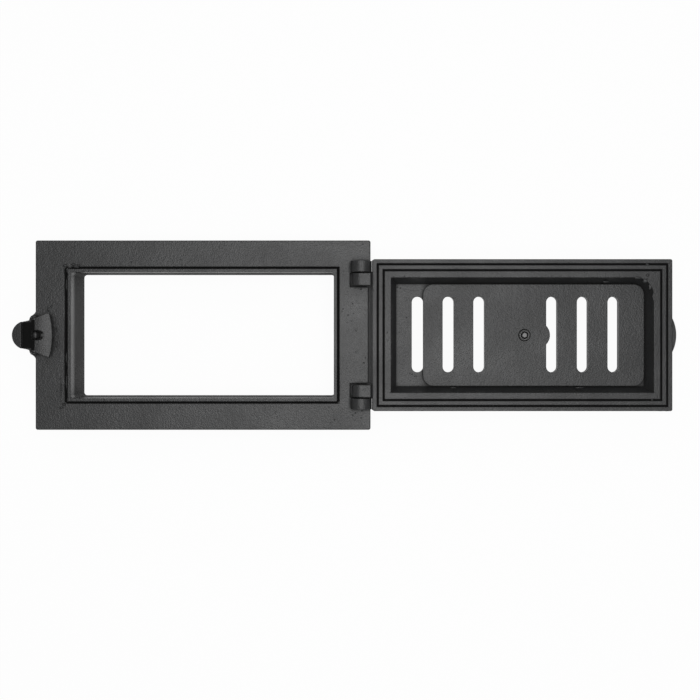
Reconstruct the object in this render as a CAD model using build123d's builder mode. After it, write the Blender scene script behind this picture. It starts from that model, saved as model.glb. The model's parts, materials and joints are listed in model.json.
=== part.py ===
from build123d import *
import os

# Cast-iron ash pit door, drawn as it stands in a wall with its door swung wide open.
# X runs to the right, Z up, and the front faces -Y.
# The origin is the middle of the opening, in the plane of the wall.
# Heights called "level" are distances in front of the wall, measured along -Y.

# Driving dimensions of the frame, in millimetres
OPENING_W = 250.0
OPENING_H = 120.0
OPENING_CORNER = 3.0
LIP = 3.0
LIP_HEIGHT = 4.0
FRAME_W = 320.0
FRAME_H = 181.0
FRAME_CORNER = 2.0
FLANGE = 5.0
SLEEVE_DEPTH = 37.0
MOAT_W = 2.4
MOAT_DEPTH = 1.8
EDGE_ROUND = 0.9

# Driving dimensions of the hinges
AXIS_X = 151.0
AXIS_LEVEL = 12.5
BARREL_R = 10.0
BARREL_LOW = 59.7
BARREL_HIGH = 70.0
KNUCKLE_R = 9.0
KNUCKLE_LOW = 47.0
KNUCKLE_HIGH = 58.3
HINGE_PIN_R = 2.6
HINGE_PIN_LOW = 47.4
RUNNING = 0.06
ARM_REACH = 8.6
NOTCH_REACH = 10.8
NOTCH_LOW = 45.8
NOTCH_FLOOR = 2.0
EDGE_CUT = 2.4
EDGE_LEDGE = 1.8

# Driving dimensions of the door
DOOR_NEAR = 10.8
DOOR_W = 282.8
DOOR_H = 143.4
DOOR_CORNER = 1.8
DOOR_T = 5.0
SEAT_GAP = 0.3
OUTER_BAND = 3.8
GROOVE = 2.0
RIDGE = 3.6
INNER_BAND = 5.8
GROOVE_DEPTH = 1.9
PAN_DEPTH = 14.0
PAN_FLOOR = 4.0
PAN_WALL = 4.0
PAN_DRAFT = 21.8
PAN_CORNER = 17.0
NOSE_REACH = 4.2
NOSE_HALF = 17.0
NOSE_T = 3.5

# Driving dimensions of the air slots and their slide
SLOT_W = 11.0
SLOT_L = 72.5
SLOT_RISE = 0.6
SLOT_PITCH = 29.3
SLOTS_LEFT = 54.1
SLOTS_RIGHT = 182.3
SLOTS_IN_GROUP = 3
SLIDE_T = 3.0
SLIDE_GAP = 0.2
SLIDE_H = 97.0
SLIDE_NEAR = 59.2
SLIDE_FAR = 270.2
SLIDE_CORNER = 10.0
SLIDE_TRAVEL = 14.6
PAD_AT = 167.4
PAD_R = 13.0
STUD_AT = 156.0
STUD_R = 2.6
STUD_ROOM = 0.35
STUD_HEAD = 1.0
WASHER_R = 5.0
WASHER_T = 0.8
KNOB_ROOM = 0.3
KNOB_SHOULDER_R = 7.0
KNOB_SHOULDER_T = 1.8
KNOB_NECK_R = 4.2
KNOB_R = 8.5
KNOB_HEAD_T = 8.0
KNOB_LENGTH = 17.0

# Driving dimensions of the latch
LATCH_X = -159.5
LATCH_LEVEL = 9.0
LATCH_PIN_R = 1.6
LATCH_BOSS_R = 3.5
LUG_IN = 16.3
LUG_OUT = 18.2
LEVER_FOOT_GAP = 0.4
TAB_TIP = -178.6
TAB_WALL = -169.8
TAB_TOP = 17.0
TAB_BOTTOM = 10.8
RIDGE_X = -156.0
RIDGE_TOP = 18.6
HOOK_TIP = -140.6
HOOK_WALL = -147.3
HOOK_T = 1.6
HOOK_GAP = 0.5
LEVER_SLOT = 4.75
LEVER_SLOT_START = -159.8
LEVER_ROOF = 1.4
LEVER_SLOT_END = -148.0
SPRING_HALF = 2.7
SPRING_T = 0.8
SPRING_GAP = 0.4
SPRING_RIVET_X = -152.3

# Half outline of the lever from the front: thumb end, waist at the ridge, hook corner
THUMB_CORNER = (-166.5, 13.2)
WAIST_CORNER = (-157.0, 15.8)
HOOK_CORNER = (-143.3, 21.0)
LEVER_ROOM = 24.0

# Levels worked out from the driving dimensions
LIP_LEVEL = FLANGE + LIP_HEIGHT
SHUT_FACE = LIP_LEVEL + SEAT_GAP
DOOR_FACE = 2 * AXIS_LEVEL - SHUT_FACE
DOOR_BACK = DOOR_FACE - DOOR_T
FLOOR_LEVEL = DOOR_FACE - PAN_DEPTH
FLOOR_BACK = FLOOR_LEVEL - PAN_FLOOR
SLIDE_LEVEL = FLOOR_LEVEL + SLIDE_GAP
KNOB_LEVEL = FLOOR_BACK - KNOB_ROOM
STUD_END = SLIDE_LEVEL + SLIDE_T + WASHER_T + STUD_HEAD
LEVER_FOOT = FLANGE + LEVER_FOOT_GAP
SPRING_TOP = LATCH_LEVEL + LATCH_PIN_R + SPRING_GAP + SPRING_T
LEVER_VALLEY = SPRING_TOP + SPRING_GAP + LEVER_ROOF
HOOK_UNDER = SHUT_FACE + DOOR_T + HOOK_GAP

# Places worked out from the driving dimensions
DOOR_MID = AXIS_X + DOOR_NEAR + DOOR_W / 2
BORDER = OUTER_BAND + GROOVE + RIDGE + GROOVE + INNER_BAND
PAN_W = DOOR_W - 2 * BORDER
PAN_H = DOOR_H - 2 * BORDER
LIP_W = OPENING_W + 2 * LIP
LIP_H = OPENING_H + 2 * LIP
STUD_X = AXIS_X + STUD_AT
SLOT_CENTRES = [
    start + SLOT_PITCH * i
    for start in (SLOTS_LEFT, SLOTS_RIGHT)
    for i in range(SLOTS_IN_GROUP)
]


def front(level):
    """The plane that faces the viewer at a level in front of the wall."""
    return Plane.XZ.offset(level)


def plan(height):
    """The level plane at a height, with its own y axis pointing into the wall."""
    return Plane.XY.offset(height)


# Frame: flange, sleeve, sealing lip, hinge barrels and latch lugs in one casting
with BuildPart() as frame:
    with BuildSketch(front(0)):
        RectangleRounded(FRAME_W, FRAME_H, FRAME_CORNER)
    extrude(amount=FLANGE)
    outer = frame.edges().group_by(Axis.Y)[0]
    fillet(outer, EDGE_ROUND)

    # A narrow moat in the flange surrounds the lip
    with BuildSketch(front(FLANGE)):
        Rectangle(LIP_W + 2 * MOAT_W, LIP_H + 2 * MOAT_W)
    extrude(amount=-MOAT_DEPTH, mode=Mode.SUBTRACT)

    # The sleeve goes back into the masonry and its front end is the lip
    with BuildSketch(front(-SLEEVE_DEPTH)):
        Rectangle(LIP_W, LIP_H)
    extrude(amount=SLEEVE_DEPTH + LIP_LEVEL)
    with BuildSketch(front(-SLEEVE_DEPTH)):
        RectangleRounded(OPENING_W, OPENING_H, OPENING_CORNER)
    extrude(amount=SLEEVE_DEPTH + LIP_LEVEL, mode=Mode.SUBTRACT)

    # The right edge is stepped back between the hinges, over a thin ledge
    with BuildSketch(front(EDGE_LEDGE)):
        with Locations((FRAME_W / 2, 0)):
            Rectangle(2 * EDGE_CUT, 2 * NOTCH_LOW)
    extrude(amount=FLANGE, mode=Mode.SUBTRACT)

    # A pocket under each knuckle lets the door's arms turn
    for side in (1, -1):
        middle = side * (NOTCH_LOW + BARREL_LOW) / 2
        with BuildSketch(front(NOTCH_FLOOR)):
            with Locations((AXIS_X, middle)):
                Rectangle(2 * NOTCH_REACH, BARREL_LOW - NOTCH_LOW)
        extrude(amount=FLANGE, mode=Mode.SUBTRACT)

    # Hinge barrels, each a round boss on a foot that runs into the flange
    for side in (1, -1):
        low = min(side * BARREL_LOW, side * BARREL_HIGH)
        with BuildSketch(plan(low)):
            with Locations((AXIS_X, -AXIS_LEVEL)):
                Circle(BARREL_R)
            with Locations((AXIS_X, -(AXIS_LEVEL + NOTCH_FLOOR) / 2)):
                Rectangle(2 * BARREL_R - 2, AXIS_LEVEL - NOTCH_FLOOR)
        extrude(amount=BARREL_HIGH - BARREL_LOW)
        with Locations((AXIS_X, -AXIS_LEVEL, side * (BARREL_LOW + BARREL_HIGH) / 2)):
            Cylinder(HINGE_PIN_R, BARREL_HIGH - BARREL_LOW, mode=Mode.SUBTRACT)

    # Two small lugs at the left edge carry the latch's pivot
    for side in (1, -1):
        low = min(side * LUG_IN, side * LUG_OUT)
        with BuildSketch(plan(low)):
            with Locations((LATCH_X, -LATCH_LEVEL)):
                Circle(LATCH_BOSS_R)
            with Locations((LATCH_X, -LATCH_LEVEL / 2)):
                Rectangle(2 * LATCH_BOSS_R, LATCH_LEVEL)
        extrude(amount=LUG_OUT - LUG_IN)
        with Locations((LATCH_X, -LATCH_LEVEL, side * (LUG_IN + LUG_OUT) / 2)):
            Cylinder(LATCH_PIN_R, LUG_OUT - LUG_IN, mode=Mode.SUBTRACT)
frame.part.label = "frame"


# Door: flanged plate with a drafted pan, sealing grooves, six air slots, hinge arms and nose
with BuildPart() as door:
    with BuildSketch(front(DOOR_BACK)):
        with Locations((DOOR_MID, 0)):
            RectangleRounded(DOOR_W, DOOR_H, DOOR_CORNER)
    extrude(amount=DOOR_T)

    # The outside of the pan stands up from the plate as a raised panel
    with BuildSketch(front(DOOR_BACK)):
        with Locations((DOOR_MID, 0)):
            Rectangle(PAN_W + PAN_WALL, PAN_H + PAN_WALL)
    extrude(amount=FLOOR_BACK - DOOR_BACK, taper=PAN_DRAFT)
    panel_edges = door.edges().group_by(Axis.Y)[-1]
    fillet(panel_edges, 2 * EDGE_ROUND)

    # The inside of the pan, with the one corner that was cast with a big round
    with BuildSketch(front(DOOR_FACE)) as mouth:
        with Locations((DOOR_MID, 0)):
            Rectangle(PAN_W, PAN_H)
        fillet(mouth.vertices().sort_by(Axis.X)[-2:].sort_by(Axis.Y)[-1], PAN_CORNER)
    extrude(amount=-PAN_DEPTH, taper=PAN_DRAFT, mode=Mode.SUBTRACT)

    # Two sealing grooves run round the pan
    for inset in (OUTER_BAND, OUTER_BAND + GROOVE + RIDGE):
        with BuildSketch(front(DOOR_FACE)):
            with Locations((DOOR_MID, 0)):
                Rectangle(DOOR_W - 2 * inset, DOOR_H - 2 * inset)
                Rectangle(
                    DOOR_W - 2 * (inset + GROOVE),
                    DOOR_H - 2 * (inset + GROOVE),
                    mode=Mode.SUBTRACT,
                )
        extrude(amount=-GROOVE_DEPTH, mode=Mode.SUBTRACT)

    # Air slots, and the short slot that the slide's stud runs in
    with BuildSketch(front(FLOOR_BACK)):
        for centre in SLOT_CENTRES:
            with Locations((AXIS_X + centre, SLOT_RISE)):
                SlotOverall(SLOT_L, SLOT_W, rotation=90)
        with Locations((STUD_X - SLIDE_TRAVEL / 2, 0)):
            SlotCenterToCenter(SLIDE_TRAVEL, 2 * (STUD_R + STUD_ROOM))
    extrude(amount=PAN_FLOOR, mode=Mode.SUBTRACT)

    # Hinge arms: a knuckle, a flat that leaves it at a tangent, and a root on the plate's edge
    for side in (1, -1):
        low = min(side * KNUCKLE_LOW, side * KNUCKLE_HIGH)
        root = DOOR_NEAR + OUTER_BAND / 2
        with BuildSketch(plan(low)):
            with Locations((AXIS_X, -AXIS_LEVEL)):
                Circle(KNUCKLE_R)
            with BuildLine():
                Polyline(
                    (AXIS_X, -AXIS_LEVEL - KNUCKLE_R),
                    (AXIS_X + ARM_REACH, -AXIS_LEVEL - KNUCKLE_R),
                    (AXIS_X + DOOR_NEAR, -DOOR_FACE),
                    (AXIS_X + root, -DOOR_FACE),
                    (AXIS_X + root, -DOOR_BACK),
                    (AXIS_X, -AXIS_LEVEL + KNUCKLE_R / 2),
                    close=True,
                )
            make_face()
        extrude(amount=KNUCKLE_HIGH - KNUCKLE_LOW)
        with Locations((AXIS_X, -AXIS_LEVEL, side * (KNUCKLE_LOW + KNUCKLE_HIGH) / 2)):
            Cylinder(HINGE_PIN_R + RUNNING, KNUCKLE_HIGH - KNUCKLE_LOW, mode=Mode.SUBTRACT)

    # The nose on the free edge, which the latch hooks over
    free_edge = AXIS_X + DOOR_NEAR + DOOR_W
    with BuildSketch(front(DOOR_BACK)):
        with BuildLine():
            ThreePointArc(
                (free_edge, -NOSE_HALF), (free_edge + NOSE_REACH, 0), (free_edge, NOSE_HALF)
            )
            Polyline(
                (free_edge, NOSE_HALF),
                (free_edge - OUTER_BAND / 2, NOSE_HALF),
                (free_edge - OUTER_BAND / 2, -NOSE_HALF),
                (free_edge, -NOSE_HALF),
            )
        make_face()
    extrude(amount=NOSE_T)
door.part.label = "door"


# Slide: the plate inside the pan that opens and shuts the air slots
with BuildPart() as slide:
    with BuildSketch(front(SLIDE_LEVEL)):
        with Locations((AXIS_X + (SLIDE_NEAR + SLIDE_FAR) / 2, 0)):
            RectangleRounded(SLIDE_FAR - SLIDE_NEAR, SLIDE_H, SLIDE_CORNER)
        for centre in SLOT_CENTRES[1:]:
            with Locations((AXIS_X + centre, SLOT_RISE)):
                SlotOverall(SLOT_L, SLOT_W, rotation=90, mode=Mode.SUBTRACT)
        with Locations((AXIS_X + PAD_AT, 0)):
            Circle(PAD_R)
        with Locations((STUD_X, 0)):
            Circle(STUD_R, mode=Mode.SUBTRACT)
    extrude(amount=SLIDE_T)
slide.part.label = "damper_slide"


# Knob on the room side of the door: its shank passes through the door and the slide
with BuildPart() as knob:
    with BuildSketch(front(KNOB_LEVEL)):
        with Locations((STUD_X, 0)):
            Circle(STUD_R)
    extrude(amount=STUD_END - KNOB_LEVEL)
    chamfer(knob.edges().group_by(Axis.Y)[0], STUD_HEAD / 2)
    with BuildSketch(front(KNOB_LEVEL)):
        with Locations((STUD_X, 0)):
            Circle(KNOB_SHOULDER_R)
    extrude(amount=-KNOB_SHOULDER_T)
    with BuildSketch(front(KNOB_LEVEL)):
        with Locations((STUD_X, 0)):
            Circle(KNOB_NECK_R)
    extrude(amount=-KNOB_LENGTH)
    with BuildSketch(front(KNOB_LEVEL - KNOB_LENGTH)):
        with Locations((STUD_X, 0)):
            Circle(KNOB_R)
    extrude(amount=KNOB_HEAD_T)
    knob_face = knob.edges().group_by(Axis.Y)[-1]
    fillet(knob_face, KNOB_HEAD_T * 0.6)
knob.part.label = "damper_knob"

with BuildPart() as washer:
    with BuildSketch(front(SLIDE_LEVEL + SLIDE_T)):
        with Locations((STUD_X, 0)):
            Circle(WASHER_R)
            Circle(STUD_R, mode=Mode.SUBTRACT)
    extrude(amount=WASHER_T)
washer.part.label = "damper_washer"


# Hinge pins: pressed in the frame's barrels, and the door's knuckles turn on them
hinge_pins = []
for name, side in (("hinge_pin_upper", 1), ("hinge_pin_lower", -1)):
    with BuildPart() as hinge_pin:
        length = BARREL_HIGH - HINGE_PIN_LOW
        with Locations((AXIS_X, -AXIS_LEVEL, side * (BARREL_HIGH + HINGE_PIN_LOW) / 2)):
            Cylinder(HINGE_PIN_R, length)
        chamfer(hinge_pin.edges().filter_by(GeomType.CIRCLE), 0.5)
    hinge_pin.part.label = name
    hinge_pins.append(hinge_pin.part)


# Latch lever: thumb tab, valley over the pivot, and a hook that laps over the door's nose
with BuildPart() as lever:
    # Side profile of the lever, as tall as its widest end
    with BuildSketch(plan(-LEVER_ROOM)):
        with BuildLine():
            Polyline(
                (HOOK_TIP, -HOOK_UNDER - HOOK_T),
                (HOOK_TIP, -HOOK_UNDER),
                (HOOK_WALL, -HOOK_UNDER),
                (HOOK_WALL, -LEVER_FOOT),
                (LATCH_X, -LEVER_FOOT),
            )
            heel = (LATCH_X - 3.4, -LATCH_LEVEL + 1.2)
            RadiusArc((LATCH_X, -LEVER_FOOT), heel, LEVER_FOOT - LATCH_LEVEL)
            Polyline(
                heel,
                (TAB_WALL, -TAB_BOTTOM),
                (TAB_TIP, -TAB_BOTTOM - 1.2),
                (TAB_TIP, -TAB_TOP + 1.0),
                (TAB_WALL, -TAB_TOP),
                (TAB_WALL + 0.6, -LEVER_VALLEY),
                (LATCH_X - 4.5, -LEVER_VALLEY),
            )
            ThreePointArc(
                (LATCH_X - 4.5, -LEVER_VALLEY),
                (LATCH_X + 0.6, -LEVER_VALLEY - 2.1),
                (RIDGE_X, -RIDGE_TOP),
            )
            ThreePointArc(
                (RIDGE_X, -RIDGE_TOP),
                (RIDGE_X + 8.5, -RIDGE_TOP + 0.4),
                (HOOK_TIP, -HOOK_UNDER - HOOK_T),
            )
        make_face()
    extrude(amount=2 * LEVER_ROOM)
    # Front outline: a round thumb end that fans out to the hook
    with BuildSketch(front(0)):
        with BuildLine():
            lower = [(x, -z) for x, z in (THUMB_CORNER, WAIST_CORNER, HOOK_CORNER)]
            Polyline(THUMB_CORNER, WAIST_CORNER, HOOK_CORNER)
            ThreePointArc(HOOK_CORNER, (HOOK_TIP, 0), lower[2])
            Polyline(*reversed(lower))
            ThreePointArc(lower[0], (TAB_TIP, 0), THUMB_CORNER)
        make_face()
    extrude(amount=2 * LEVER_ROOM, mode=Mode.INTERSECT)
    # A slot shows the spring, and a channel under the valley takes its free end
    with BuildSketch(front(0)):
        slot_end = LEVER_SLOT_END - LEVER_SLOT
        with Locations(((LEVER_SLOT_START + slot_end) / 2, 0)):
            Rectangle(slot_end - LEVER_SLOT_START, 2 * LEVER_SLOT)
        with Locations((slot_end, 0)):
            Circle(LEVER_SLOT)
    extrude(amount=2 * LEVER_ROOM, mode=Mode.SUBTRACT)
    with BuildSketch(front(0)):
        with Locations(((TAB_WALL + LEVER_SLOT_START) / 2, 0)):
            Rectangle(LEVER_SLOT_START - TAB_WALL, 2 * LEVER_SLOT)
    extrude(amount=SPRING_TOP + SPRING_GAP, mode=Mode.SUBTRACT)
    with Locations((LATCH_X, -LATCH_LEVEL, 0)):
        Cylinder(LATCH_PIN_R + RUNNING, 2 * LEVER_ROOM, mode=Mode.SUBTRACT)
lever.part.label = "latch_lever"

with BuildPart() as latch_pin:
    with Locations((LATCH_X, -LATCH_LEVEL, 0)):
        Cylinder(LATCH_PIN_R, 2 * LUG_OUT)
    chamfer(latch_pin.edges().filter_by(GeomType.CIRCLE), 0.3)
latch_pin.part.label = "latch_pin"


# Leaf spring: its foot is riveted to the flange, it bows over the pivot and ends under the tab
SPRING_PATH = [
    (SPRING_RIVET_X + SPRING_HALF, FLANGE),
    (SPRING_RIVET_X - 3.2, FLANGE),
    (LATCH_X + 2.4, LATCH_LEVEL + LATCH_PIN_R + SPRING_GAP),
    (LATCH_X - 2.4, LATCH_LEVEL + LATCH_PIN_R + SPRING_GAP),
    (TAB_WALL + 1.5, TAB_BOTTOM - SPRING_T - 1.2),
    (TAB_WALL - 4.5, TAB_BOTTOM - SPRING_T - SPRING_GAP),
]
with BuildPart() as spring:
    with BuildSketch(plan(-SPRING_HALF)):
        with BuildLine():
            under = [(x, -level) for x, level in SPRING_PATH]
            over = [(x, -level - SPRING_T) for x, level in SPRING_PATH]
            Polyline(*under, *reversed(over), close=True)
        make_face()
    extrude(amount=2 * SPRING_HALF)
spring.part.label = "latch_spring"

with BuildPart() as rivet:
    with BuildSketch(front(FLANGE + SPRING_T)):
        with Locations((SPRING_RIVET_X, 0)):
            Circle(SPRING_HALF - 0.2)
    extrude(amount=1.1)
    fillet(rivet.edges().group_by(Axis.Y)[0], 0.8)
rivet.part.label = "spring_rivet"


os.makedirs("parts", exist_ok=True)
for piece in (
    frame.part,
    door.part,
    slide.part,
    knob.part,
    washer.part,
    lever.part,
    latch_pin.part,
    spring.part,
    rivet.part,
    *hinge_pins,
):
    export_step(piece, f"parts/{piece.label}.step")
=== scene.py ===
# %% [markdown]
# # An ash pit door in black cast iron
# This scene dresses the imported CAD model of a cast-iron ash pit door and shows it as it lies
# on a white table, seen straight from above with its door swung wide open.
# X runs to the right, Z up the picture, and the front of the door frame faces -Y.

# %% Load the frame
import json
import math

import bmesh
import bpy
from mathutils import Matrix, Vector, noise


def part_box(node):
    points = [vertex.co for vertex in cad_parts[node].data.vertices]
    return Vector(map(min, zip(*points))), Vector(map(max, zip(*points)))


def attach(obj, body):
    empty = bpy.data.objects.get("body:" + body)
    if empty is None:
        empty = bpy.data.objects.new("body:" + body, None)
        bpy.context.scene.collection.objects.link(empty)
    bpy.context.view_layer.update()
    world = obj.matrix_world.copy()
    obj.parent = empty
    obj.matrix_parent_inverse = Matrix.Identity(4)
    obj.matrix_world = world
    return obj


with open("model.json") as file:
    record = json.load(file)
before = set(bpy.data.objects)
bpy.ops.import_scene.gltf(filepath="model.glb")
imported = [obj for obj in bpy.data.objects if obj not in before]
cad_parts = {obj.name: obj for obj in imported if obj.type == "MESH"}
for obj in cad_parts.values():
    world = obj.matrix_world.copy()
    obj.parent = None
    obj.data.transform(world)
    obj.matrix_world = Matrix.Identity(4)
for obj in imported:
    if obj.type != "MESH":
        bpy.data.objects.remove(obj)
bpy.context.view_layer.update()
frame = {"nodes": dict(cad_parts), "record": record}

nodes = frame["nodes"]
MM = 0.001
for name, node in sorted(nodes.items()):
    low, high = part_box(name)
    print(name, "from", [round(v / MM, 1) for v in low], "to", [round(v / MM, 1) for v in high])

# %% [markdown]
# The frame, the door and the slide are sand castings: molten iron was poured into a mould of
# packed sand, and the grains of the sand still show under the black paint.
# One node group makes that skin for every iron piece, so that they all look cast in one shop:
# fine grains, a few pits between them, and wide soft blotches where the paint took more or
# less shine. It reads object coordinates in metres, so a grain stays the size of a grain.

# %% A node group for the cast skin
def new_group(name, inputs, outputs):
    """A shader node group with float inputs (name, default) and float outputs."""
    group = bpy.data.node_groups.new(name, "ShaderNodeTree")
    for label, value in inputs:
        socket = group.interface.new_socket(label, in_out="INPUT", socket_type="NodeSocketFloat")
        socket.default_value = value
    for label in outputs:
        group.interface.new_socket(label, in_out="OUTPUT", socket_type="NodeSocketFloat")
    return group, group.nodes.new("NodeGroupInput"), group.nodes.new("NodeGroupOutput")


def feed(tree, socket, value):
    """Links a socket to another one, or sets it to a plain number or colour."""
    if isinstance(value, tuple):
        socket.default_value = (*value, 1.0)
    elif isinstance(value, (int, float)):
        socket.default_value = value
    else:
        tree.links.new(value, socket)


def math_node(tree, operation, a, b, clamp=False):
    """A math node fed by sockets or by plain numbers."""
    node = tree.nodes.new("ShaderNodeMath")
    node.operation = operation
    node.use_clamp = clamp
    feed(tree, node.inputs[0], a)
    feed(tree, node.inputs[1], b)
    return node.outputs[0]


def noise_node(tree, vector, scale, detail, roughness=0.5):
    """A noise texture on a coordinate, returning its value."""
    node = tree.nodes.new("ShaderNodeTexNoise")
    tree.links.new(vector, node.inputs["Vector"])
    feed(tree, node.inputs["Scale"], scale)
    node.inputs["Detail"].default_value = detail
    node.inputs["Roughness"].default_value = roughness
    return node.outputs[0]


def map_range(tree, value, low, high, to_low, to_high):
    """Stretches a value from one range to another and clamps it."""
    node = tree.nodes.new("ShaderNodeMapRange")
    tree.links.new(value, node.inputs["Value"])
    ends = {"From Min": low, "From Max": high, "To Min": to_low, "To Max": to_high}
    for label, number in ends.items():
        node.inputs[label].default_value = number
    return node.outputs["Result"]


# Scales count features over a metre: 760 makes grains of about 1.3 mm
GRAIN_SCALE = 760.0
COARSE_SCALE = 190.0
BLOTCH_SCALE = 22.0
PIT_SCALE = 240.0
PIT_FIELD_SCALE = 60.0

skin, skin_in, skin_out = new_group(
    "CastSkin",
    (("Grain Scale", GRAIN_SCALE), ("Pits", 0.5), ("Blotches", 1.0)),
    ("Tone", "Shine", "Height"),
)
coordinates = skin.nodes.new("ShaderNodeTexCoord").outputs["Object"]
grain = noise_node(skin, coordinates, skin_in.outputs["Grain Scale"], 3.0, 0.6)
coarse = noise_node(skin, coordinates, COARSE_SCALE, 2.0)
blotch = noise_node(skin, coordinates, BLOTCH_SCALE, 4.0, 0.6)
pit_cells = skin.nodes.new("ShaderNodeTexVoronoi")
pit_cells.inputs["Scale"].default_value = PIT_SCALE
skin.links.new(coordinates, pit_cells.inputs["Vector"])
pit = map_range(skin, pit_cells.outputs["Distance"], 0.06, 0.2, 1.0, 0.0)
pit_field = noise_node(skin, coordinates, PIT_FIELD_SCALE, 2.0)
pit_here = map_range(skin, pit_field, 0.55, 0.62, 0.0, 1.0)
pits = math_node(skin, "MULTIPLY", pit, pit_here)
pits = math_node(skin, "MULTIPLY", pits, skin_in.outputs["Pits"])

blotch_part = math_node(
    skin, "MULTIPLY", math_node(skin, "SUBTRACT", blotch, 0.5), skin_in.outputs["Blotches"]
)
grain_part = math_node(skin, "MULTIPLY", math_node(skin, "SUBTRACT", grain, 0.5), 0.9)
tone = math_node(skin, "ADD", math_node(skin, "ADD", blotch_part, grain_part), 1.0)
tone = math_node(skin, "SUBTRACT", tone, math_node(skin, "MULTIPLY", pits, 0.6))
skin.links.new(math_node(skin, "MAXIMUM", tone, 0.1), skin_out.inputs["Tone"])
skin.links.new(math_node(skin, "ADD", blotch_part, 0.5, clamp=True), skin_out.inputs["Shine"])
height = math_node(skin, "ADD", grain, math_node(skin, "MULTIPLY", coarse, 0.7))
height = math_node(skin, "SUBTRACT", height, math_node(skin, "MULTIPLY", pits, 1.5))
skin.links.new(height, skin_out.inputs["Height"])
print("cast skin group has", len(skin.nodes), "nodes")

# %% [markdown]
# Stove paint is thin. It is rubbed off where hands and tools reach: on the proud edges.
# It could be painted by hand into an image, but a mask that finds the edges by itself fits
# every piece and follows it when its shape changes.
# A bevel node gives the direction a rounded edge would face. Where that differs from the
# true surface, there is an edge, and noise breaks the rubbed line up.

# %% A node group for rubbed edges
BEVEL_SAMPLES = 4
RUB_WIDTH = 0.7 * MM

edge, edge_in, edge_out = new_group(
    "RubbedEdges", (("Rub", 0.5), ("Patch Scale", 120.0)), ("Mask",)
)
rounded = edge.nodes.new("ShaderNodeBevel")
rounded.samples = BEVEL_SAMPLES
rounded.inputs["Radius"].default_value = RUB_WIDTH
geometry = edge.nodes.new("ShaderNodeNewGeometry")
facing = edge.nodes.new("ShaderNodeVectorMath")
facing.operation = "DOT_PRODUCT"
edge.links.new(rounded.outputs["Normal"], facing.inputs[0])
edge.links.new(geometry.outputs["Normal"], facing.inputs[1])
near_edge = map_range(edge, facing.outputs["Value"], 0.98, 0.85, 0.0, 1.0)
edge_place = edge.nodes.new("ShaderNodeTexCoord").outputs["Object"]
patch_noise = noise_node(edge, edge_place, edge_in.outputs["Patch Scale"], 3.0)
patches = map_range(edge, patch_noise, 0.42, 0.62, 0.0, 1.0)
rub = math_node(edge, "MULTIPLY", near_edge, patches)
rub = math_node(edge, "MULTIPLY", rub, edge_in.outputs["Rub"])
edge.links.new(rub, edge_out.inputs["Mask"])
print("rubbed edge group has", len(edge.nodes), "nodes")

# %% [markdown]
# This group paints shade into the grooves and the deep corners, and makes them duller there.
# Ambient occlusion finds those places: it measures how closed in each point is.
# The sleeve behind the wall plane, where Y is above zero, is made darker and duller all over.

# %% A node group for painted shade in recesses
SHADE_REACH = 5.0 * MM

# Painted shade: a mask that darkens closed-in places, and the sleeve behind the wall plane
painted_shade, painted_shade_in, painted_shade_out = new_group("PaintedRecessShade", (("Amount", 1.0),), ("Mask",))
closed_in = painted_shade.nodes.new("ShaderNodeAmbientOcclusion")
closed_in.samples = 8
closed_in.inputs["Distance"].default_value = SHADE_REACH
depth = map_range(painted_shade, closed_in.outputs["AO"], 0.85, 0.45, 0.0, 1.0)
sleeve_place = painted_shade.nodes.new("ShaderNodeSeparateXYZ")
painted_shade.links.new(painted_shade.nodes.new("ShaderNodeTexCoord").outputs["Object"], sleeve_place.inputs[0])
behind = map_range(painted_shade, sleeve_place.outputs["Y"], -2.0 * MM, 6.0 * MM, 0.0, 1.0)
shade_mask = math_node(painted_shade, "MAXIMUM", depth, behind)
shade_mask = math_node(painted_shade, "MULTIPLY", shade_mask, painted_shade_in.outputs["Amount"])
painted_shade.links.new(shade_mask, painted_shade_out.inputs["Mask"])
print("soot group has", len(painted_shade.nodes), "nodes")

# %% [markdown]
# Two families of finish are in the photograph. The castings are black and half matt, and the
# turned and pressed pieces, such as the stud, the pins and the spring, are darkened steel.
# One recipe mixes the groups into either, and only the colour, the worn colour, the
# roughness and the metal are set for each slot of the record.
# The soft bevel in it rounds the CAD model's sharp edges for the light alone, as a coat of
# paint does, without a single new face.

# %% Materials, one for each slot of the record
def group_node(tree, group, **values):
    """One of the shared groups, with its inputs set by name."""
    node = tree.nodes.new("ShaderNodeGroup")
    node.node_tree = group
    for label, value in values.items():
        node.inputs[label.replace("_", " ")].default_value = value
    return node


def mix_colour(tree, factor, a, b, blend="MIX"):
    """Mixes two colours, each a socket or a plain triple."""
    node = tree.nodes.new("ShaderNodeMix")
    node.data_type = "RGBA"
    node.blend_type = blend
    feed(tree, node.inputs[0], factor)
    feed(tree, node.inputs[6], a)
    feed(tree, node.inputs[7], b)
    return node.outputs[2]


def new_material(name):
    """A material with its node tree and its principled shader."""
    material = bpy.data.materials.new(name)
    material.use_nodes = True
    tree = material.node_tree
    shader = next(n for n in tree.nodes if n.type == "BSDF_PRINCIPLED")
    return material, tree, shader


def toned(tree, surface, colour):
    """A colour made lighter and darker by the tone of the cast skin."""
    tone_colour = tree.nodes.new("ShaderNodeCombineColor")
    for channel in tone_colour.inputs:
        tree.links.new(surface.outputs["Tone"], channel)
    return mix_colour(tree, 1.0, colour, tone_colour.outputs[0], "MULTIPLY")


BLACK = (0.02, 0.0205, 0.021)
WORN = (0.08, 0.08, 0.08)
# The colour of painted shade in grooves, corners, the sleeve and the black strips
SHADE_BLACK = (0.006, 0.006, 0.006)
SHEEN_SPREAD = 0.07
# Roughness added where the painted shade lies
RECESS_DULLNESS = 0.4
PAINT_ROUND = 1.0 * MM
BUMP_DEPTH = 0.4 * MM


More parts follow.
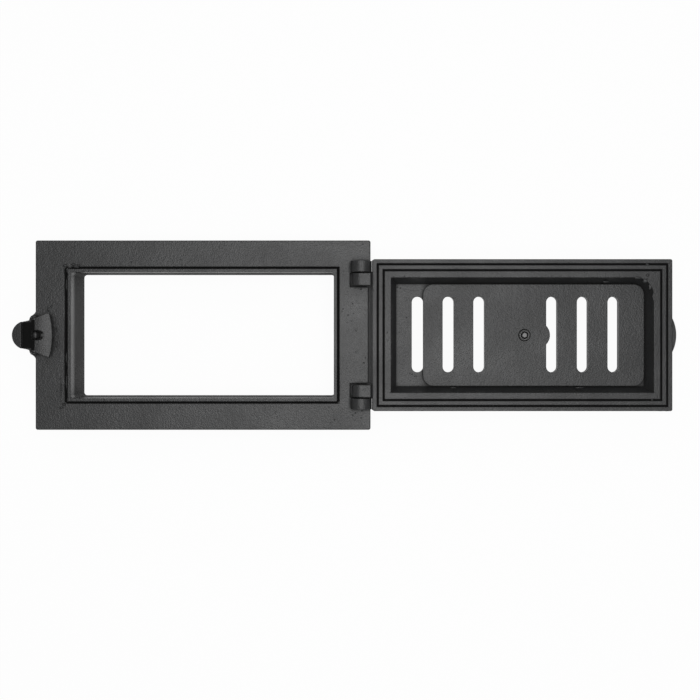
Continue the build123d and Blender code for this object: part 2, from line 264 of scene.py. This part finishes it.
def iron(name, colour, worn, rough, metallic=0.0, pits=0.5, rub=0.4, bump=0.9):
    """A cast or forged surface under paint or dark oxide."""
    material, tree, shader = new_material(name)
    surface = group_node(tree, skin, Grain_Scale=GRAIN_SCALE, Pits=pits)
    edges = group_node(tree, edge, Rub=rub)
    shaded = toned(tree, surface, colour)
    rubbed = mix_colour(tree, edges.outputs["Mask"], shaded, worn)
    # Painted shade: the colour goes dark in recesses and behind the wall plane
    recess_shade = group_node(tree, painted_shade, Amount=1.0)
    with_shade = mix_colour(tree, recess_shade.outputs["Mask"], rubbed, SHADE_BLACK)
    tree.links.new(with_shade, shader.inputs["Base Color"])
    shine = map_range(
        tree, surface.outputs["Shine"], 0.2, 0.8, rough + SHEEN_SPREAD, rough - SHEEN_SPREAD
    )
    dull = math_node(tree, "MULTIPLY", recess_shade.outputs["Mask"], RECESS_DULLNESS)
    tree.links.new(math_node(tree, "ADD", shine, dull, clamp=True), shader.inputs["Roughness"])
    shader.inputs["Metallic"].default_value = metallic
    soft = tree.nodes.new("ShaderNodeBevel")
    soft.samples = BEVEL_SAMPLES
    soft.inputs["Radius"].default_value = PAINT_ROUND
    bumps = tree.nodes.new("ShaderNodeBump")
    bumps.inputs["Strength"].default_value = bump
    bumps.inputs["Distance"].default_value = BUMP_DEPTH
    tree.links.new(surface.outputs["Height"], bumps.inputs["Height"])
    tree.links.new(soft.outputs["Normal"], bumps.inputs["Normal"])
    tree.links.new(bumps.outputs["Normal"], shader.inputs["Normal"])
    return material


def grey(level):
    """A colour with no tint."""
    return (level, level, level)


finishes = {
    "cast_iron": iron("black_cast_iron", BLACK, WORN, 0.4, rub=0.35),
    "slide_iron": iron(
        "black_slide_iron", (0.019, 0.0195, 0.02), WORN, 0.43, pits=0.3, rub=0.25
    ),
    "latch_iron": iron("black_latch_iron", (0.02, 0.02, 0.0205), grey(0.11), 0.4, rub=0.6),
    "stud_steel": iron("dark_stud_steel", grey(0.12), grey(0.35), 0.4, 0.6, pits=0.1, bump=0.12),
    "pin_steel": iron("dark_pin_steel", grey(0.09), grey(0.3), 0.42, 0.5, pits=0.1, bump=0.12),
    "spring_steel": iron(
        "dark_spring_steel", grey(0.1), grey(0.3), 0.38, 0.7, pits=0.0, bump=0.06
    ),
}
node_slots = {part["node"]: part["material_slot"] for part in frame["record"]["subparts"]}
for name, node in nodes.items():
    for index in range(len(node.data.materials)):
        node.data.materials[index] = finishes[node_slots[name]]
print("painted", {name: node_slots[name] for name in sorted(nodes)})

# %% [markdown]
# A sand casting keeps small lumps where the mould crumbled, and nobody ground them off.
# In the photograph they sit along the frame's moat, by the latch and in the door's corner.
# Each is made here from a round ball, stretched, pushed out of shape by noise and sunk half
# into the iron. They are too small and too wild to be worth a place in the CAD model.

# %% Casting lumps
def new_piece(name, shape, body, slot, finish=None):
    """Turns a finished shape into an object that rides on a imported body."""
    mesh = bpy.data.meshes.new(name)
    shape.to_mesh(mesh)
    shape.free()
    piece = bpy.data.objects.new(name, mesh)
    bpy.context.scene.collection.objects.link(piece)
    mesh.materials.append(finishes[finish or slot])
    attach(piece, body)
    print(name, "has", len(mesh.polygons), "faces")


def smooth_outward(shape):
    """Faces outward and shaded smooth."""
    bmesh.ops.recalc_face_normals(shape, faces=shape.faces)
    for face in shape.faces:
        face.smooth = True


LUMP_NOISE_SCALE = 700.0
LUMP_ROUGHNESS = 0.3


def lumps(name, body, slot, spots, seed=0.0):
    """One mesh of rough lumps.

    A spot is (x, z, level, half length x, half length z, half depth) in mm.
    """
    shape = bmesh.new()
    for x, z, level, half_x, half_z, half_y in spots:
        centre = Vector((x, -level, z)) * MM
        size = Matrix.Diagonal((half_x * MM, half_y * MM, half_z * MM, 1.0))
        made = bmesh.ops.create_icosphere(
            shape, subdivisions=3, radius=1.0, matrix=Matrix.Translation(centre) @ size
        )
        for vert in made["verts"]:
            shift = noise.noise(vert.co * LUMP_NOISE_SCALE + Vector((seed, 0.0, 0.0)))
            vert.co = centre + (vert.co - centre) * (1.0 + LUMP_ROUGHNESS * shift)
    smooth_outward(shape)
    new_piece(name, shape, body, slot)


lumps("moat_lumps", "frame_body", "cast_iron", [
    (-131.6, 66.2, 4.5, 2.2, 1.7, 1.5),
    (-127.4, 65.2, 3.8, 2.2, 1.6, 1.5),
    (-123.6, 67.4, 4.6, 2.4, 1.5, 1.3),
    (-118.6, 66.8, 4.5, 2.0, 1.3, 1.3),
    (-121.0, 65.0, 3.9, 3.0, 1.3, 1.4),
    (-129.6, 61.8, 3.8, 1.5, 2.8, 1.5),
    (-130.3, 48.0, 4.1, 0.8, 7.0, 1.3),
    (-130.4, -22.0, 4.1, 0.9, 8.0, 1.3),
    (-130.3, -44.0, 4.1, 0.8, 9.0, 1.3),
    (-135.2, -69.4, 4.8, 1.7, 1.4, 1.2),
    (-132.6, -66.0, 4.6, 2.2, 1.3, 1.4),
    (-129.4, -62.0, 3.6, 1.2, 2.2, 1.3),
    (-135.7, -52.0, 4.7, 0.7, 12.0, 0.8),
    (-147.6, 24.8, 4.7, 1.6, 2.2, 1.0),
    (-145.0, 27.4, 4.7, 1.0, 1.2, 0.8),
    (-139.6, 5.6, 4.7, 0.9, 3.2, 0.9),
    (-138.6, -2.6, 4.7, 0.8, 2.6, 0.9),
    (-139.9, -9.0, 4.7, 0.9, 3.4, 0.9),
    (130.0, -64.6, 3.6, 2.0, 1.4, 1.4),
])
lumps("door_corner_lumps", "door_body", "cast_iron", [
    (421.6, 56.7, 15.4, 1.9, 1.4, 0.9),
    (430.6, 38.3, 15.05, 1.2, 1.5, 0.6),
    (428.5, 25.6, 14.9, 1.3, 2.2, 0.7),
    (428.2, 20.4, 14.8, 1.1, 2.0, 0.75),
    (421.1, 66.9, 14.6, 1.6, 1.1, 1.2),
    (412.5, 54.2, 15.0, 4.2, 1.6, 1.2),
    (419.4, 51.4, 14.6, 3.0, 2.6, 1.6),
    (424.2, 46.0, 14.2, 2.0, 3.4, 1.2),
    (427.4, 36.4, 14.7, 1.4, 4.6, 0.85),
], seed=3.0)
lumps("door_edge_lumps", "door_body", "cast_iron", [
    (425.4, -61.2, 15.2, 1.2, 1.0, 0.9),
    (404.6, -65.6, 14.4, 1.5, 1.0, 1.0),
    (199.0, -37.0, 1.55, 2.4, 1.3, 0.24),
    (203.2, -39.2, 1.55, 1.9, 1.2, 0.24),
    (383.2, 50.6, 11.2, 3.2, 0.7, 0.8),
    (238.6, -50.0, 10.4, 2.9, 0.7, 0.8),
    (358.0, -50.0, 10.2, 4.6, 0.7, 0.8),
    (434.0, -71.2, 13.4, 3.0, 0.9, 1.6),
    (440.0, -71.3, 13.0, 3.4, 0.8, 1.8),
], seed=7.0)

# %% [markdown]
# In the photograph nothing shows between the open door and the frame, yet the solids leave a
# gap there, so that the door can swing. Thin fins close it from sight, along the door's near
# edge and the frame's. They stand in for edges that meet more closely on the real object, and
# take the form of flash, the fin of iron that runs out where the halves of a mould meet.
# A box with softly bevelled edges is all that such a fin needs.

# %% The flash between door and frame
def round_edges(shape, edge_round):
    """Rounds every edge of a shape by a radius in mm."""
    bmesh.ops.bevel(
        shape, geom=shape.edges[:], offset=edge_round * MM, offset_type="OFFSET", segments=2,
        profile=0.5, affect="EDGES", material=-1,
    )


def bar(name, body, slot, low, high, edge_round):
    """A box between two corners in mm with rounded edges."""
    shape = bmesh.new()
    size = [(b - a) * MM for a, b in zip(low, high)]
    middle = [(a + b) / 2 * MM for a, b in zip(low, high)]
    bmesh.ops.create_cube(
        shape, size=1.0, matrix=Matrix.Translation(middle) @ Matrix.Diagonal((*size, 1.0))
    )
    round_edges(shape, edge_round)
    new_piece(name, shape, body, slot)


# Each runs from one corner to the other: x, y and z in mm, and the radius of its edges
for name, body, low, high, edge_round in (
    ("door_edge_flash", "door_body", (160.9, -14.9, -46.8), (162.6, -11.2, 46.8), 0.5),
    ("door_upper_flash", "door_body", (161.2, -14.9, 58.6), (162.9, -11.2, 70.8), 0.5),
    ("door_lower_flash", "door_body", (161.2, -14.9, -70.8), (162.9, -11.2, -58.6), 0.5),
    ("frame_edge_flash", "frame_body", (159.2, -1.7, -60.9), (161.7, -0.2, 60.9), 0.4),
):
    bar(name, body, "cast_iron", low, high, edge_round)

# %% [markdown]
# The grooves round such a door can hold a cord that seals it against draughts.
# Here they are empty, and their shade is painted in as black strips. The same painted shade
# lies in the frame's moat and in the valley of the latch lever, where the thumb goes.
# Each is a thin piece in a dull material on the floor of its groove: drawn as an outline and
# pushed up a fraction of a millimetre, so that no paint work on the big pieces is needed.
# One more strip lies flat on the flange, left of the moat. It stands in for the shade of the
# real moat, which is wider there than the modelled one.
# Behind the latch, the frame's edge runs out into a rounded ear, drawn the same way.

# %% Painted shade lines, the latch's painted valley shade and the frame's ear
def matt(name, colour):
    """A matt black with hardly any shine, used as painted shade. Fine grain keeps it from looking
    flat.
    """
    material, tree, shader = new_material(name)
    surface = group_node(tree, skin, Pits=0.0)
    tree.links.new(toned(tree, surface, colour), shader.inputs["Base Color"])
    shader.inputs["Roughness"].default_value = 0.95
    shader.inputs["Specular IOR Level"].default_value = 0.1
    return material


# Painted shade: a black for thin pieces laid where grooves and hollows fall into shade
finishes["painted_shade"] = matt("painted_shade_black", SHADE_BLACK)


def push_out(shape, corners, way):
    """Adds a face through some corners and pushes it out into a closed prism."""
    face = shape.faces.new([shape.verts.new(corner) for corner in corners])
    grown = bmesh.ops.extrude_face_region(shape, geom=[face])
    moved = [g for g in grown["geom"] if isinstance(g, bmesh.types.BMVert)]
    bmesh.ops.translate(shape, verts=moved, vec=way)


def plate(name, body, slot, faces, finish=None, edge_round=0.0):
    """Closed flat pieces in one mesh.

    A face is (outline of (x, z), back level, front level) in mm.
    """
    shape = bmesh.new()
    for outline, back, front in faces:
        corners = [(x * MM, -back * MM, z * MM) for x, z in outline]
        push_out(shape, corners, (0.0, (back - front) * MM, 0.0))
    bmesh.ops.recalc_face_normals(shape, faces=shape.faces)
    if edge_round:
        round_edges(shape, edge_round)
    new_piece(name, shape, body, slot, finish)


JOINT_GAP = 0.01


def ring_strips(centre_x, width, height, strip, back, front):
    """Four strips that together line a rectangular groove, given by its outer size."""
    x0, x1 = centre_x - width / 2, centre_x + width / 2
    z1 = height / 2
    inner = z1 - strip
    side = inner - JOINT_GAP
    outlines = [
        [(x0, z1), (x1, z1), (x1, inner), (x0, inner)],
        [(x0, -z1), (x1, -z1), (x1, -inner), (x0, -inner)],
        [(x0, -side), (x0 + strip, -side), (x0 + strip, side), (x0, side)],
        [(x1, -side), (x1 - strip, -side), (x1 - strip, side), (x1, side)],
    ]
    return [(outline, back, front) for outline in outlines]


DOOR_X, DOOR_WIDE, DOOR_HIGH = 303.2, 282.8, 143.4
OUTER_GROOVE, INNER_GROOVE = 7.8, 19.0
door_lines = []
for inset in (OUTER_GROOVE, INNER_GROOVE):
    door_lines += ring_strips(DOOR_X, DOOR_WIDE - inset, DOOR_HIGH - inset, 1.8, 13.7, 14.1)
# Painted shade: black strips on the floors of the door's two grooves
plate("door_groove_shade", "door_body", "cast_iron", door_lines, "painted_shade")

MOAT_WIDE, MOAT_HIGH = 260.4, 130.4
moat_lines = ring_strips(0.0, MOAT_WIDE, MOAT_HIGH, 2.0, 3.1, 3.5)
# Painted shade: a flat black strip on the flange, left of the moat, where the wider moat's shade
# falls
wide_moat_shade = [
    (-132.4, 63.8), (-130.3, 64.6), (-130.3, -64.6), (-132.2, -64.0), (-132.5, -20.0),
    (-132.1, 25.0),
]
plate("moat_shade", "frame_body", "cast_iron", moat_lines + [(wide_moat_shade, 4.8, 5.05)], "painted_shade")


def ramp(name, body, slot, profiles, finish):
    """Closed strips in one mesh.

    Each is a side profile of (x, level), and its two ends in z, in mm.
    """
    shape = bmesh.new()
    for profile, low_z, high_z in profiles:
        corners = [(x * MM, -level * MM, low_z * MM) for x, level in profile]
        push_out(shape, corners, (0.0, 0.0, (high_z - low_z) * MM))
    bmesh.ops.recalc_face_normals(shape, faces=shape.faces)
    new_piece(name, shape, body, slot, finish)


# The valley's floor is flat and then climbs to the ridge along an arc
ARC_X, ARC_LEVEL, ARC_R = -166.0, 25.7, 12.26
SHADE_TOP, SHADE_UNDER = 0.15, -0.3


def on_arc(degrees, lift):
    """The point of (x, level) at an angle of the arc, lifted off it."""
    turn = math.radians(degrees)
    radius = ARC_R - lift
    return ARC_X + radius * math.sin(turn), ARC_LEVEL - radius * math.cos(turn)


def arc_strip(*angles):
    """The profile of a thin layer of painted shade along the arc, over and back under."""
    over = [on_arc(angle, SHADE_TOP) for angle in angles]
    return over + [on_arc(angle, SHADE_UNDER) for angle in reversed(angles)]


flat_top = [(-169.1, 13.75), (-164.0, 13.75)]
flat_under = [(-164.0, 13.3), (-169.1, 13.3)]
steep = arc_strip(25.5, 34, 42, 48)
# Painted shade: a black layer over the latch's valley, where its steep wall falls into shade
ramp(
    "latch_valley_shade", "latch_body", "latch_iron",
    [
        (flat_top + arc_strip(14, 20, 25) + flat_under, -12.3, 12.3),
        (arc_strip(25.1, 29.5), -4.85, 4.85),
        (steep, 4.9, 14.6),
        (steep, -14.6, -4.9),
    ],
    "painted_shade",
)
ear = [
    (-158.5, 24.0), (-160.1, 22.4), (-161.0, 20.8), (-162.4, 19.5), (-164.4, 18.4), (-165.6, 16.8),
    (-166.3, 14.6), (-166.8, 12.0),
]
plate(
    "latch_ear", "frame_body", "cast_iron",
    [(ear + [(x, -z) for x, z in reversed(ear)], 0.3, 4.7)], edge_round=0.5,
)

# %% [markdown]
# The stud's end is hammered over on its washer, so that the knob can never work loose.
# The blow leaves a raised ring round the bright centre, and the shade in the lows beside it is
# painted as black rings.
# A ring is a turned shape, so a small closed profile is spun once round the stud's axis.

# %% The ring round the stud
STUD_X, STUD_Z = 307.0, 0.0
SPIN_STEPS = 48


def turned_ring(name, slot, profile, finish=None):
    """Spins a closed profile of (radius, level) points in mm round the stud's axis."""
    shape = bmesh.new()
    corners = [
        shape.verts.new(((STUD_X + radius) * MM, -level * MM, STUD_Z * MM))
        for radius, level in profile
    ]
    loop = [shape.edges.new((a, b)) for a, b in zip(corners, corners[1:] + corners[:1])]
    bmesh.ops.spin(
        shape, geom=corners + loop, cent=Vector((STUD_X, 0.0, STUD_Z)) * MM,
        axis=(0.0, 1.0, 0.0), angle=math.tau, steps=SPIN_STEPS, use_merge=True,
    )
    smooth_outward(shape)
    new_piece(name, shape, "slide_body", slot, finish)


turned_ring(
    "stud_ring", "stud_steel", [(3.4, 5.6), (3.6, 6.2), (4.1, 6.4), (4.5, 6.2), (4.7, 5.6)]
)
# Painted shade: black rings in the lows on either side of the raised ring
turned_ring(
    "stud_shade_ring", "slide_iron", [(4.9, 4.8), (4.9, 5.3), (5.6, 5.15), (6.1, 4.8)], "painted_shade"
)
turned_ring(
    "stud_inner_shade_ring", "stud_steel", [(2.5, 5.6), (2.5, 5.85), (3.5, 5.85), (3.5, 5.6)], "painted_shade"
)

# %% [markdown]
# The white table carries the sleeve's back edge. To the camera it is nearly pure white, yet a
# part of its colour comes from the lamps, so that it keeps a soft shadow. It shows only from
# its front, so that the back of the door can be looked at too.

# %% The white table
table = bpy.data.materials.new("white_table")
table.use_nodes = True
tree = table.node_tree
tree.nodes.clear()
paper = tree.nodes.new("ShaderNodeBsdfDiffuse")
paper.inputs["Color"].default_value = (0.9, 0.9, 0.9, 1.0)
glow = tree.nodes.new("ShaderNodeEmission")
glow.inputs["Color"].default_value = (1.0, 1.0, 1.0, 1.0)
glow.inputs["Strength"].default_value = 1.0
path = tree.nodes.new("ShaderNodeLightPath")
seen = math_node(
    tree, "ADD", path.outputs["Is Camera Ray"], path.outputs["Is Glossy Ray"], clamp=True
)
seen = math_node(tree, "ADD", seen, path.outputs["Is Transmission Ray"], clamp=True)
GLOW_SHARE = 0.95
white = tree.nodes.new("ShaderNodeMixShader")
tree.links.new(math_node(tree, "MULTIPLY", seen, GLOW_SHARE), white.inputs[0])
tree.links.new(paper.outputs[0], white.inputs[1])
tree.links.new(glow.outputs[0], white.inputs[2])
clear = tree.nodes.new("ShaderNodeBsdfTransparent")
one_sided = tree.nodes.new("ShaderNodeMixShader")
tree.links.new(tree.nodes.new("ShaderNodeNewGeometry").outputs["Backfacing"], one_sided.inputs[0])
tree.links.new(white.outputs[0], one_sided.inputs[1])
tree.links.new(clear.outputs[0], one_sided.inputs[2])
output = tree.nodes.new("ShaderNodeOutputMaterial")
tree.links.new(one_sided.outputs[0], output.inputs["Surface"])

TABLE_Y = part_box("frame")[1][1] + 0.2 * MM
HALF_TABLE = 4
shape = bmesh.new()
corners = [
    shape.verts.new((x * HALF_TABLE, TABLE_Y, z * HALF_TABLE))
    for x, z in ((-1, -1), (1, -1), (1, 1), (-1, 1))
]
shape.faces.new(corners)
bmesh.ops.recalc_face_normals(shape, faces=shape.faces)
if shape.faces[:][0].normal.y > 0:
    bmesh.ops.reverse_faces(shape, faces=shape.faces)
mesh = bpy.data.meshes.new("table_top")
shape.to_mesh(mesh)
shape.free()
table_top = bpy.data.objects.new("table_top", mesh)
bpy.context.scene.collection.objects.link(table_top)
mesh.materials.append(table)
print("table stands", round(TABLE_Y / MM, 1), "mm behind the wall plane")

# %% [markdown]
# A wide soft box hangs near the camera, a little to the right. Flat iron that faces it mirrors
# it as a dull grey sheen, and everything that turns away goes nearly black.

# %% Lamps and world
def soft_box(name, place, aim, width, height, watts):
    """A rectangular lamp, measured in metres, that points at a spot."""
    light = bpy.data.lights.new(name, "AREA")
    light.shape = "RECTANGLE"
    light.size = width
    light.size_y = height
    light.energy = watts
    lamp = bpy.data.objects.new(name, light)
    lamp.location = place
    lamp.rotation_euler = (Vector(aim) - Vector(place)).to_track_quat("-Z", "Y").to_euler()
    bpy.context.scene.collection.objects.link(lamp)


soft_box("key_box", (0.2, -1.3, 0.0), (0.2, 0.0, 0.0), 0.85, 0.75, 10.6)
soft_box("fill_box", (0.0, -1.2, 0.9), (0.14, 0.0, 0.0), 0.8, 0.5, 1.5)

ROOM_LIGHT, SEEN_WHITE = 0.3, 1.0
world = bpy.data.worlds.new("soft_room")
bpy.context.scene.world = world
world.use_nodes = True
world_tree = world.node_tree
background = next(n for n in world_tree.nodes if n.type == "BACKGROUND")
background.inputs["Color"].default_value = (1.0, 1.0, 1.0, 1.0)
world_path = world_tree.nodes.new("ShaderNodeLightPath")
world_seen = map_range(
    world_tree, world_path.outputs["Is Camera Ray"], 0.0, 1.0, ROOM_LIGHT, SEEN_WHITE
)
world_tree.links.new(world_seen, background.inputs["Strength"])

# %% [markdown]
# The camera hangs 0.9 m over the flange, level with the middle of the opening.
# From so near, the sleeve's walls show in perspective, as they do in the photograph.
# A small shift puts the object where it stands in the picture.

# %% Camera
# In mm: what the picture shows across in the plane of the flange's face, the way to it, how
# far the picture's middle lies right of the opening's middle, and how far below it
SHOWN_WIDTH = 668.5
DISTANCE = 900.0
RIGHT_OF_OPENING = 140.4
BELOW_OPENING = 14.2
FLANGE_LEVEL = 5.0
SENSOR = 36.0
camera_data = bpy.data.cameras.new("camera")
camera_data.sensor_width = SENSOR
camera_data.lens = SENSOR * DISTANCE / SHOWN_WIDTH
camera_data.shift_y = -BELOW_OPENING / SHOWN_WIDTH
camera = bpy.data.objects.new("camera", camera_data)
camera.location = (RIGHT_OF_OPENING * MM, -(FLANGE_LEVEL + DISTANCE) * MM, 0.0)
camera.rotation_euler = (math.radians(90.0), 0.0, 0.0)
bpy.context.scene.collection.objects.link(camera)
bpy.context.scene.camera = camera
bpy.context.scene.view_settings.view_transform = "Standard"
print("lens", round(camera_data.lens, 2), "mm")
